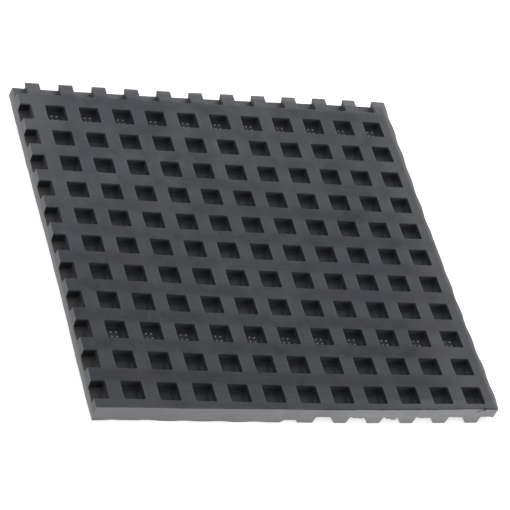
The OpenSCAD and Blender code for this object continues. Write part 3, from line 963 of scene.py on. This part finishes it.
# slot, low and high roughness, metallic, grain scale, grain stretch, tone spread, bump,
# specular, coat
GRAINED = [
    ("spreader_foil", 0.28, 0.42, 1.0, 500.0, (0.2, 8, 1), 0.10, 0.25, 0.5, 0.0),
    ("insulating_film", 0.16, 0.30, 0.0, 260.0, (1, 1, 1), 0.12, 0.12, 0.55, 0.3),
    ("bonding_resin", 0.45, 0.65, 0.0, 180.0, (1, 1, 1), 0.10, 0.25, 0.5, 0.0),
    ("carbon_print", 0.70, 0.88, 0.0, 900.0, (6, 1, 1), 0.30, 0.25, 0.5, 0.0),
    ("copper_foil", 0.24, 0.40, 1.0, 420.0, (0.3, 6, 1), 0.14, 0.25, 0.5, 0.0),
    ("tinned_crimp", 0.30, 0.48, 1.0, 800.0, (1, 1, 1), 0.12, 0.25, 0.5, 0.0),
    ("sleeve_plastic", 0.38, 0.52, 0.0, 500.0, (1, 0.2, 1), 0.14, 0.25, 0.5, 0.0),
    ("cutout_case", 0.42, 0.58, 0.0, 700.0, (1, 1, 1), 0.08, 0.25, 0.5, 0.0),
    ("socket_plastic", 0.40, 0.56, 0.0, 900.0, (1, 1, 1), 0.30, 0.35, 0.5, 0.0),
    ("contact_brass", 0.20, 0.34, 1.0, 600.0, (1, 6, 1), 0.12, 0.25, 0.5, 0.0),
    ("seal_rubber", 0.55, 0.72, 0.0, 1100.0, (1, 1, 1), 0.30, 0.4, 0.5, 0.0),
]

upper_skin = cell_skin("cell_skin", UPPER_WELL_SHADE)
lower_skin = cell_skin("underside_skin", LOWER_WELL_LIGHT)
cut = cut_face()
# painted highlight: the pips are far paler than the rubber to stand in for glints off the floor
# relief
relief_rubber = relief_material("relief_rubber", rgb("cell_rubber"), shares=(1.2, 2.4),
                                rough=(0.26, 0.38), specular=0.6)
relief_glint = relief_material("relief_glint", (0.30, 0.305, 0.31), shares=(0.75, 1.25),
                              rough=(0.24, 0.36), specular=0.7)
slot_materials = {row[0]: grained(*row) for row in GRAINED}

slot_of = {part["node"]: part["material_slot"] for part in record["subparts"]}
for name, ob in frame["nodes"].items():
    ob.data.materials.clear()
    ob.data.materials.append(slot_materials.get(slot_of[name], upper_skin))

for ob, node, materials in (
        (upper, "upper_cell_sheet", (upper_skin, cut)),
        (lower, "lower_cell_sheet", (lower_skin, cut)),
        (relief, None, (relief_rubber, relief_glint)),
        (torn, None, (cut,))):
    for material in materials:
        ob.data.materials.append(material)
    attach(ob, "root")
    if node:
        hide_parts(node)


# ----------------------------------------------------------------------
# stage, light, camera
# ----------------------------------------------------------------------
def stage_floor():
    half, z = 9000.0, -0.2
    corners = [(-half, -half, z), (half, -half, z), (half, half, z), (-half, half, z)]
    ob = add_object("stage_floor", corners, [[0, 1, 2, 3]])
    t = Tree("stage_paper")
    t.set("Base Color", t.ramp(t.noise(scale=3.0, detail=2.0), (0.3, 0.90), (0.7, 0.92)))
    t.set("Roughness", 0.9)
    t.set("Specular IOR Level", 0.1)
    t.set("Emission Color", (1.0, 1.0, 1.0, 1.0))
    t.set("Emission Strength", 0.62)
    ob.data.materials.append(t.material)


def studio_world(level_strength, overhead_strength):
    """Plain white to the camera; its light grows from level to overhead."""
    world = bpy.data.worlds.new("studio")
    bpy.context.scene.world = world
    world.use_nodes = True
    nodes, link = world.node_tree.nodes, world.node_tree.links.new
    nodes.clear()
    output = nodes.new("ShaderNodeOutputWorld")
    mix = nodes.new("ShaderNodeMixShader")
    seen = nodes.new("ShaderNodeBackground")
    lit = nodes.new("ShaderNodeBackground")
    path = nodes.new("ShaderNodeLightPath")
    direction = nodes.new("ShaderNodeTexCoord")
    separate = nodes.new("ShaderNodeSeparateXYZ")
    strength = nodes.new("ShaderNodeMapRange")
    seen.inputs["Color"].default_value = (1.0, 1.0, 1.0, 1)
    seen.inputs["Strength"].default_value = 1.0
    lit.inputs["Color"].default_value = (0.98, 0.99, 1.0, 1)
    strength.inputs["To Min"].default_value = level_strength
    strength.inputs["To Max"].default_value = overhead_strength
    link(direction.outputs["Generated"], separate.inputs[0])
    link(separate.outputs["Z"], strength.inputs["Value"])
    link(strength.outputs["Result"], lit.inputs["Strength"])
    link(path.outputs["Is Camera Ray"], mix.inputs[0])
    link(lit.outputs[0], mix.inputs[1])
    link(seen.outputs[0], mix.inputs[2])
    link(mix.outputs[0], output.inputs["Surface"])


def area_light(name, place, target, width, height, power):
    light = bpy.data.lights.new(name, "AREA")
    light.shape = "RECTANGLE"
    light.size = width
    light.size_y = height
    light.energy = power
    ob = bpy.data.objects.new(name, light)
    ob.location = place
    aim = Vector(target) - Vector(place)
    ob.rotation_euler = aim.to_track_quat("-Z", "Y").to_euler()
    bpy.context.scene.collection.objects.link(ob)


def photo_camera():
    """Looks down from the front left."""
    data = bpy.data.cameras.new("photo_camera")
    data.sensor_width = 36.0
    data.lens = 175.67
    data.clip_start, data.clip_end = 0.05, 60.0
    ob = bpy.data.objects.new("photo_camera", data)
    right = Vector((0.9114932606, -0.2434902291, 0.3315004437))
    up = Vector((-0.0358352525, 0.7558774162, 0.6537317236))
    forward = Vector((0.4097509860, 0.6077514624, -0.6802516369))
    place = Vector((-0.7190988, -1.0756340, 1.2056010))
    turn = Matrix((right, up, -forward)).transposed().to_4x4()
    ob.matrix_world = Matrix.Translation(place) @ turn
    bpy.context.scene.collection.objects.link(ob)
    bpy.context.scene.camera = ob


stage_floor()
studio_world(level_strength=0.36, overhead_strength=0.74)
area_light("softbox_back_right", place=(0.90, 1.05, 1.30), target=(0, 0.02, 0),
           width=1.25, height=1.25, power=15.0)
area_light("low_front_right", place=(0.62, -0.95, 0.18), target=(0.1, -0.15, 0),
           width=0.6, height=0.30, power=2.4)
photo_camera()

view = bpy.context.scene.view_settings
view.view_transform = "Standard"
view.look = "None"
view.exposure = 0.0
view.gamma = 1.0
